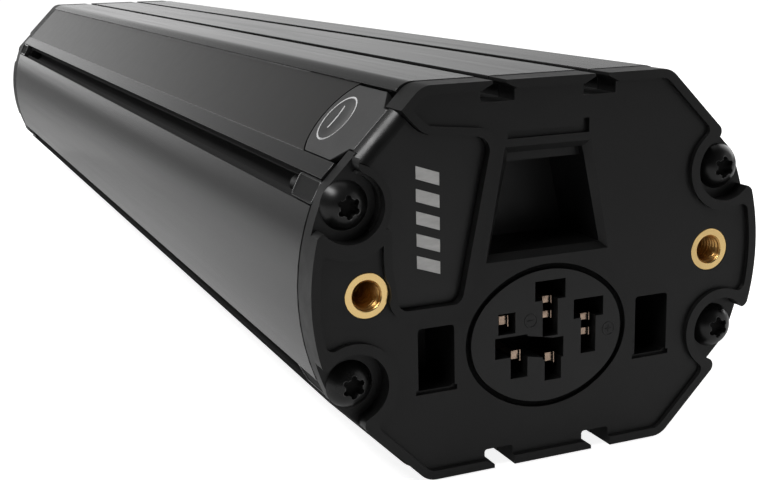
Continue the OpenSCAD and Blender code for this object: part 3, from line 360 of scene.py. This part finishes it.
def thread(name, x, front):
    """A helix that opens out at the face of the insert."""
    cols, steps = THREAD_COLS, len(THREAD_RADII)
    rows = int(INSERT_L / THREAD_PITCH) * steps + steps
    verts = []
    for j in range(rows):
        for i in range(cols):
            turn = i / cols
            depth = (j / steps + turn - 1) * THREAD_PITCH
            depth = min(max(depth, THREAD_END), INSERT_L - THREAD_END)
            r = THREAD_RADII[j % steps]
            if depth < LEAD_IN_L:
                r = max(r, LEAD_IN_R - LEAD_IN_SLOPE * depth)
            a = turn * 2 * math.pi
            y = FIELD_Y + depth
            verts.append(place(x + r * math.cos(a), y if front else PACK_L - y, INSERT_Z + r * math.sin(a)))
    # The seam joins a row to one a pitch further on, since a full turn moves by one pitch
    faces = grid_faces(rows, cols, ring=False)
    for j in range(rows - 1 - steps):
        last, onward = j * cols + cols - 1, (j + steps) * cols
        faces.append((last, onward, onward + cols, last + cols))
    piece(name, verts, faces, "brass_bore")


for side, x in (("left", -INSERT_X), ("right", INSERT_X)):
    thread("thread_front_" + side, x, True)
    thread("thread_rear_" + side, x, False)

# Six lobed sockets in the domed screw heads, with painted shade in their depth and a painted highlight round
# their mouths
HEAD_Y = 0.3
DOME_R = 4.313
SOCKET_Y = 2.0
LOBE_R = 0.4875
LOBE_AT = 1.4625
SOCKET_COLS = 120
# Rings of the dark cup of painted shade: how far inside the wall, and how far below the dome
SHADE_CUP_RINGS = ((0.02, 0.06), (0.04, 0.3), (0.06, 0.8), (0.1, 1.15))
SHADE_CUP_FLOOR_R = 0.7
SHADE_CUP_FLOOR_LIFT = 0.05
# Rings of the bright edge, a painted highlight: how far outside the wall, and how far below the dome
HIGHLIGHT_RINGS = ((0.12, -0.015), (0.06, -0.02), (0.0, 0.02), (-0.03, 0.1))


def lobe_radius(a):
    """Distance from the screw's axis to the wall of its socket at angle a."""
    third = math.pi / 3
    a = (a + third / 2) % third - third / 2
    across = LOBE_AT * math.sin(a)
    if abs(across) >= LOBE_R:
        return LOBE_AT
    return max(LOBE_AT, LOBE_AT * math.cos(a) + math.sqrt(LOBE_R ** 2 - across ** 2))


def head_y(r):
    """Depth of the dome at a distance from its axis."""
    return HEAD_Y + DOME_R - math.sqrt(DOME_R ** 2 - r ** 2)


def screw_socket(name, side, low, front):
    """A dark cup of painted shade in a socket, and a painted highlight round its edge, turned like the groove
    behind the screw.
    """
    phase = GROOVE_A if (side > 0) != low else -GROOVE_A
    middle_z = PACK_H - SCREW_Z if low else SCREW_Z
    angles = [2 * math.pi * i / SOCKET_COLS for i in range(SOCKET_COLS)]
    walls = [(a, lobe_radius(a - phase)) for a in angles]

    def point(r, a, y):
        return place(side * SCREW_X + r * math.cos(a), y if front else PACK_L - y, middle_z + r * math.sin(a))

    # Painted shade: the matt black cup fills the socket's depth, where shadow falls
    shade_cup = [point(r - inset, a, head_y(r) + deep) for inset, deep in SHADE_CUP_RINGS for a, r in walls]
    shade_cup += [point(SHADE_CUP_FLOOR_R, a, SOCKET_Y - SHADE_CUP_FLOOR_LIFT) for a in angles]
    piece("socket_" + name, shade_cup, capped_faces(len(SHADE_CUP_RINGS) + 1, SOCKET_COLS), "socket_painted_shade")
    # Painted highlight: a brighter steel band round the socket's mouth, where its edge catches light
    edge_highlight = [point(r + out, a, head_y(r + out) + deep) for out, deep in HIGHLIGHT_RINGS for a, r in walls]
    piece("socket_highlight_" + name, edge_highlight, grid_faces(len(HIGHLIGHT_RINGS), SOCKET_COLS), "socket_highlight_steel")


for name, side, low, front in corners():
    screw_socket(name, side, low, front)

# Raised rims round the dished faces of the groove plugs
PLUG_L = 10.0
PLUG_HALF = 2.1
GROOVE_OUT = 3.86
PLUG_SINK = 0.6
# Radius of the corners at the outline, the least one, and how much it shrinks as the rings go in
PLUG_CORNER = 0.75
LEAST_CORNER = 0.15
CORNER_SHARE = 0.5
# Rings of the face: how far in from the outline, and how high
PLUG_RINGS = ((0.0, 0.0), (0.0, 0.18), (0.12, 0.3), (0.38, 0.3), (0.55, 0.16), (0.75, 0.08), (1.3, 0.05))


def plug_face(name, side, low, front):
    """The face of the plug at one end of a groove, square to the groove's direction."""
    middle_y = (FRONT_CAP if front else PACK_L - REAR_CAP - PLUG_L) + PLUG_L / 2
    c, s = math.cos(GROOVE_A), math.sin(GROOVE_A)
    verts = []
    for inset, up in PLUG_RINGS:
        corner = max(PLUG_CORNER - inset * CORNER_SHARE, LEAST_CORNER)
        out = GROOVE_OUT - PLUG_SINK + up
        for u, v in rounded_loop(PLUG_L / 2 - inset, PLUG_HALF - inset, corner):
            x, z = SCREW_X + out * c - v * s, SCREW_Z + out * s + v * c
            verts.append(place(side * x, middle_y + u, PACK_H - z if low else z))
    piece("plug_face_" + name, verts, capped_faces(len(PLUG_RINGS), LOOP_COLS), "plug_plastic")


for name, side, low, front in corners():
    plug_face(name, side, low, front)

# Power symbol printed on the button: a ring round the dish and a bar across it
DISH_S = 9.35
DISH_Y = 19.2
DISH_R = 4.3
DISH_DEEP = 0.45
BALL_R = (DISH_R ** 2 + DISH_DEEP ** 2) / (2 * DISH_DEEP)
PAINT = 0.015
RING_S, RING_Y = -0.1, 0.12
RING_RADII = (4.28, 4.62)
RING_COLS = 96
BAR_S, BAR_Y, BAR_L = -0.4, 1.5, 4.7
BAR_HALF = 0.19
BAR_ROWS = 14


def button_point(s, y):
    """A point of the paint on the button, s and y from the middle of its dish."""
    d = min(math.hypot(s, y), BALL_R)
    deep = max(0.0, math.sqrt(BALL_R ** 2 - d ** 2) - (BALL_R - DISH_DEEP))
    return on_chamfer(DISH_S + s, DISH_Y + y, STRIP_N + deep - PAINT)


def power_symbol():
    angles = [2 * math.pi * i / RING_COLS for i in range(RING_COLS)]
    ring = [button_point(RING_S + r * math.cos(a), RING_Y + r * math.sin(a))
            for r in RING_RADII for a in angles]
    piece("power_ring", ring, grid_faces(len(RING_RADII), RING_COLS), "white_print", "button")
    bar = [button_point(BAR_S + BAR_L * (j / (BAR_ROWS - 1) - 0.5), BAR_Y + y)
           for j in range(BAR_ROWS) for y in (-BAR_HALF, BAR_HALF)]
    piece("power_bar", bar, grid_faces(BAR_ROWS, 2, ring=False), "white_print", "button")


power_symbol()

# Painted highlights along the edges of the label film, as pale strips: place of each down the slope, and
# where it starts and ends
LABEL_HIGH_S = 1.95
LABEL_HIGH_FROM = 46.0
LABEL_LOW_S = 16.75
LABEL_LOW_FROM = 22.0
LABEL_END = 343.1
# Width of an edge, its depth below the chamfer and how far it bulges
FILM_W = 0.16
FILM_N = 0.395
FILM_BULGE = 0.02
FILM_ROWS, FILM_COLS = 60, 4


# Painted highlight: a slight bead along the film's edge, painted pale grey where the edge catches light
def painted_film_highlight(name, s0, y0):
    verts = []
    for j in range(FILM_ROWS):
        y = y0 + (LABEL_END - y0) * j / (FILM_ROWS - 1)
        for k in range(FILM_COLS):
            t = k / (FILM_COLS - 1)
            verts.append(on_chamfer(s0 + FILM_W * t, y, FILM_N - FILM_BULGE * math.sin(math.pi * t)))
    piece(name, verts, grid_faces(FILM_ROWS, FILM_COLS, ring=False), "painted_film_highlight")


painted_film_highlight("label_highlight_low", LABEL_LOW_S - FILM_W, LABEL_LOW_FROM)
painted_film_highlight("label_highlight_high", LABEL_HIGH_S, LABEL_HIGH_FROM)

# Polarity marks moulded on the connector: where they are, the ring and the bars
MINUS_AT = (-3.2, 24.6)
PLUS_AT = (11.95, 21.15)
MARK_R = 1.15
MARK_WIRE = 0.1
MARK_LONG = 0.6
MARK_THIN = 0.11
MARK_ROWS, MARK_COLS = 40, 8
RIDGE_RINGS = ((0.0, 0.0), (0.0, 0.06), (0.06, 0.1))
RIDGE_CORNER = 0.6


def mark_ring(name, cx, cz):
    verts = []
    for j in range(MARK_ROWS):
        a = 2 * math.pi * j / MARK_ROWS
        for i in range(MARK_COLS):
            b = 2 * math.pi * i / MARK_COLS
            d = MARK_R + MARK_WIRE * math.cos(b)
            verts.append(place(cx + d * math.cos(a), FIELD_Y - MARK_WIRE * math.sin(b), cz + d * math.sin(a)))
    piece(name, verts, grid_faces(MARK_ROWS, MARK_COLS, torus=True), "connector_plastic")


def mark_bar(name, cx, cz, half_x, half_z):
    verts = []
    for inset, up in RIDGE_RINGS:
        corner = min(half_x, half_z) * RIDGE_CORNER - inset * CORNER_SHARE
        verts += [place(cx + u, FIELD_Y - up, cz + v)
                  for u, v in rounded_loop(half_x - inset, half_z - inset, corner)]
    piece(name, verts, capped_faces(len(RIDGE_RINGS), LOOP_COLS), "connector_plastic")


for mark, at in (("minus", MINUS_AT), ("plus", PLUS_AT)):
    mark_ring("mark_ring_" + mark, *at)
    mark_bar("mark_bar_" + mark, *at, MARK_LONG, MARK_THIN)
mark_bar("mark_stem_plus", *PLUS_AT, MARK_THIN, MARK_LONG)

# Folded tips on the contacts: a broad tongue, a dark strip of painted shade in the slit, and a thin tongue
# beside it
CONNECTOR_Z = 21.6
POWER_AT = ((0.5, 4.45), (7.95, 0.45))
POWER_GAP = 2.6
SIGNAL_AT = ((-7.7, 3.05), (-5.4, -3.25), (1.1, -4.55))
BLADE_W = 1.8
BLADE_T = 0.6
BLADE_Y = 2.0
TIP_PROUD = 0.12
TIP_BEND = 0.06
BROAD_W = 1.25
BROAD_DROP = 0.02
SLIT_X = (1.2, 1.62)
SLIT_DROP = 0.03
SLIT_RISE = 0.04
SLIT_DEEP = 0.05
THIN_X = 1.6
# How far the tips rise above the blades, and the thin tongues drop below them
POWER_RISE, POWER_DROP = 0.5, 0.25
SIGNAL_RISE, SIGNAL_DROP = 0.8, 0.5
TONGUE_ROWS = 7
TONGUE_EDGE = 0.06
TONGUE_ROUND = 0.04


def tongue(name, x0, x1, z0, z1, y, bend, slot):
    """A strip of sheet metal whose top curls away from the mouth of the slot."""
    across = ((x0, TONGUE_ROUND), (x0 + TONGUE_EDGE, 0.0), (x1 - TONGUE_EDGE, 0.0), (x1, TONGUE_ROUND))
    verts = []
    for j in range(TONGUE_ROWS):
        t = j / (TONGUE_ROWS - 1)
        verts += [place(x, y + bend * t ** 3 + deep, z0 + (z1 - z0) * t) for x, deep in across]
    piece(name, verts, grid_faces(TONGUE_ROWS, len(across), ring=False), slot)


def contact_tip(name, cx, cz, rise, drop):
    left, low, y = cx - BLADE_W / 2, cz - BLADE_T / 2, BLADE_Y - TIP_PROUD
    high = low + BLADE_T
    tongue("tip_broad_" + name, left, left + BROAD_W, low - BROAD_DROP, high + rise, y, TIP_BEND,
           "contact_copper")
    # Painted shade: a matt black strip of the seal's rubber fills the slit between the tongues
    tongue("tip_slit_shade_" + name, left + SLIT_X[0], left + SLIT_X[1], low - SLIT_DROP, high + SLIT_RISE,
           y + SLIT_DEEP, 0.0, "seal_rubber")
    tongue("tip_thin_" + name, left + THIN_X, left + BLADE_W, low - drop, high + rise, y, TIP_BEND,
           "contact_copper")


for k, (dx, dz) in enumerate(POWER_AT):
    for level, way in (("low", -1), ("high", 1)):
        contact_tip("power_%d_%s" % (k, level), dx, CONNECTOR_Z + dz + way * POWER_GAP / 2,
                    POWER_RISE, POWER_DROP)
for k, (dx, dz) in enumerate(SIGNAL_AT):
    contact_tip("signal_%d" % k, dx, CONNECTOR_Z + dz, SIGNAL_RISE, SIGNAL_DROP)

# Stage. Each fade lists where it starts and ends, and its values there
FLOOR_HALF = 6.0
FLOOR_Z = -0.0002
FLOOR_MIDDLE = (-0.03, -0.15, 0)
# Painted light: the floor's colour is paler near the object, as if a pool of light fell there
FLOOR_PAINTED_LIGHT_FADE = (0.15, 0.75, 0.62, 0.15)
FLOOR_SEEN_FADE = (0.15, 0.6, 0.88, 1.0)
FLOOR_IN_GLOSS = 0.1


def floor_material():
    """White to the camera with a soft shadow, and darker to the light that falls on the object. Its colour
    fades from pale near the object to dark further out, a painted pool of light.
    """
    mat = bpy.data.materials.new("floor_white")
    tree = Tree(mat)
    coords = tree.add("TexCoord").outputs["Object"]
    away = tree.add("VectorMath", {0: coords, 1: FLOOR_MIDDLE}, operation="DISTANCE").outputs["Value"]
    bsdf = tree.add("BsdfPrincipled", {"Base Color": tree.fade(away, *FLOOR_PAINTED_LIGHT_FADE), "Roughness": 0.9})
    seen = tree.add("Emission", {"Strength": tree.fade(away, *FLOOR_SEEN_FADE)})
    mirrored = tree.add("Emission", {"Strength": FLOOR_IN_GLOSS})
    path = tree.add("LightPath").outputs
    by_gloss = tree.add("MixShader", {"Fac": path["Is Glossy Ray"], 2: mirrored.outputs[0]})
    by_camera = tree.add("MixShader", {"Fac": path["Is Camera Ray"], 1: by_gloss.outputs[0],
                                       2: seen.outputs[0]})
    both = tree.add("AddShader", {0: bsdf.outputs[0], 1: by_camera.outputs[0]})
    tree.add("OutputMaterial", {"Surface": both.outputs[0]})
    return mat


def plane(name, half, z):
    bm = bmesh.new()
    bmesh.ops.create_grid(bm, x_segments=1, y_segments=1, size=half)
    me = bpy.data.meshes.new(name)
    bm.to_mesh(me)
    bm.free()
    o = bpy.data.objects.new(name, me)
    o.location = (0, 0, z)
    bpy.context.scene.collection.objects.link(o)
    return o


floor = plane("floor", FLOOR_HALF, FLOOR_Z)
floor.data.materials.append(floor_material())

# Light of the room, with its level from in front of the pack, at 0, to behind it, at 1
ROOM_LEVELS = ((0.0, 0.16), (0.3, 0.18), (0.5, 0.28), (0.92, 0.36), (0.975, 0.55), (1.0, 0.9))
# It is brightest near the horizon, and darker to the left
HORIZON_FADE = (0.05, 0.26, 1.8, 0.42)
LEFTWARD_FADE = (-0.35, -0.1, 0.31, 1.0)


def studio():
    """A room that lights the object and that the camera sees as white."""
    world = bpy.data.worlds.new("studio")
    bpy.context.scene.world = world
    tree = Tree(world)
    xyz = tree.add("SeparateXYZ", {0: tree.add("TexCoord").outputs["Generated"]}).outputs
    back = tree.fade(xyz["Y"], -1.0, 1.0, 0.0, 1.0)
    room = tree.ramp(back, [(at, grey(level)) for at, level in ROOM_LEVELS])
    strength = tree.maths("MULTIPLY", tree.fade(xyz["Z"], *HORIZON_FADE), tree.fade(xyz["X"], *LEFTWARD_FADE))
    light = tree.add("Background", {"Color": room, "Strength": strength})
    seen = tree.add("Background", {"Color": (1, 1, 1, 1), "Strength": 1.0})
    by_camera = tree.add("MixShader", {"Fac": tree.add("LightPath").outputs["Is Camera Ray"],
                                       1: light.outputs[0], 2: seen.outputs[0]})
    tree.add("OutputWorld", {"Surface": by_camera.outputs[0]})


studio()


def area(name, loc, target, size, power, size_y=None):
    """A lamp turned to a target, square unless it has a second size."""
    d = bpy.data.lights.new(name, "AREA")
    d.energy = power
    d.size = size
    if size_y:
        d.shape = "RECTANGLE"
        d.size_y = size_y
    o = bpy.data.objects.new(name, d)
    o.location = loc
    o.rotation_euler = (Vector(target) - Vector(loc)).to_track_quat("-Z", "Y").to_euler()
    bpy.context.scene.collection.objects.link(o)


area("top_soft", (0.1, 0.3, 1.4), (0, 0, 0), 1.2, 2)
area("left_soft", (-0.8, -0.23, 1.165), (-0.03, -0.176, 0.058), 0.95, 15.5, 0.38)
area("rear_fill", (-0.85, 0.75, 0.7), (0, 0.05, 0.03), 1.0, 2)
area("right_fill", (1.0, 0.35, 0.6), (0, 0, 0.03), 1.0, 7)
area("front_fill", (1.15, -0.9, 0.45), (0, -0.05, 0.03), 1.2, 2.8)

# Camera, fitted to the photograph, with its turn as yaw, pitch and roll in degrees
CAMERA_AT = (-0.1029, -0.174 - PACK_L / 2 * MM, 0.08605)
CAMERA_TURN = (22.83, 13.27, 1.29)
LENS = 58.9


def camera():
    data = bpy.data.cameras.new("camera")
    data.lens = LENS
    data.sensor_width = 36.0
    data.clip_start = 0.01
    o = bpy.data.objects.new("camera", data)
    yaw, pitch, roll = (math.radians(a) for a in CAMERA_TURN)
    ahead = Vector((math.sin(yaw) * math.cos(pitch), math.cos(yaw) * math.cos(pitch), -math.sin(pitch)))
    level_right = Vector((math.cos(yaw), -math.sin(yaw), 0))
    level_down = ahead.cross(level_right)
    right = level_right * math.cos(roll) + level_down * math.sin(roll)
    down = level_down * math.cos(roll) - level_right * math.sin(roll)
    turn = Matrix((right, -down, -ahead)).transposed()
    o.matrix_world = Matrix.Translation(CAMERA_AT) @ turn.to_4x4()
    bpy.context.scene.collection.objects.link(o)
    bpy.context.scene.camera = o


camera()
bpy.context.scene.view_settings.view_transform = "Standard"
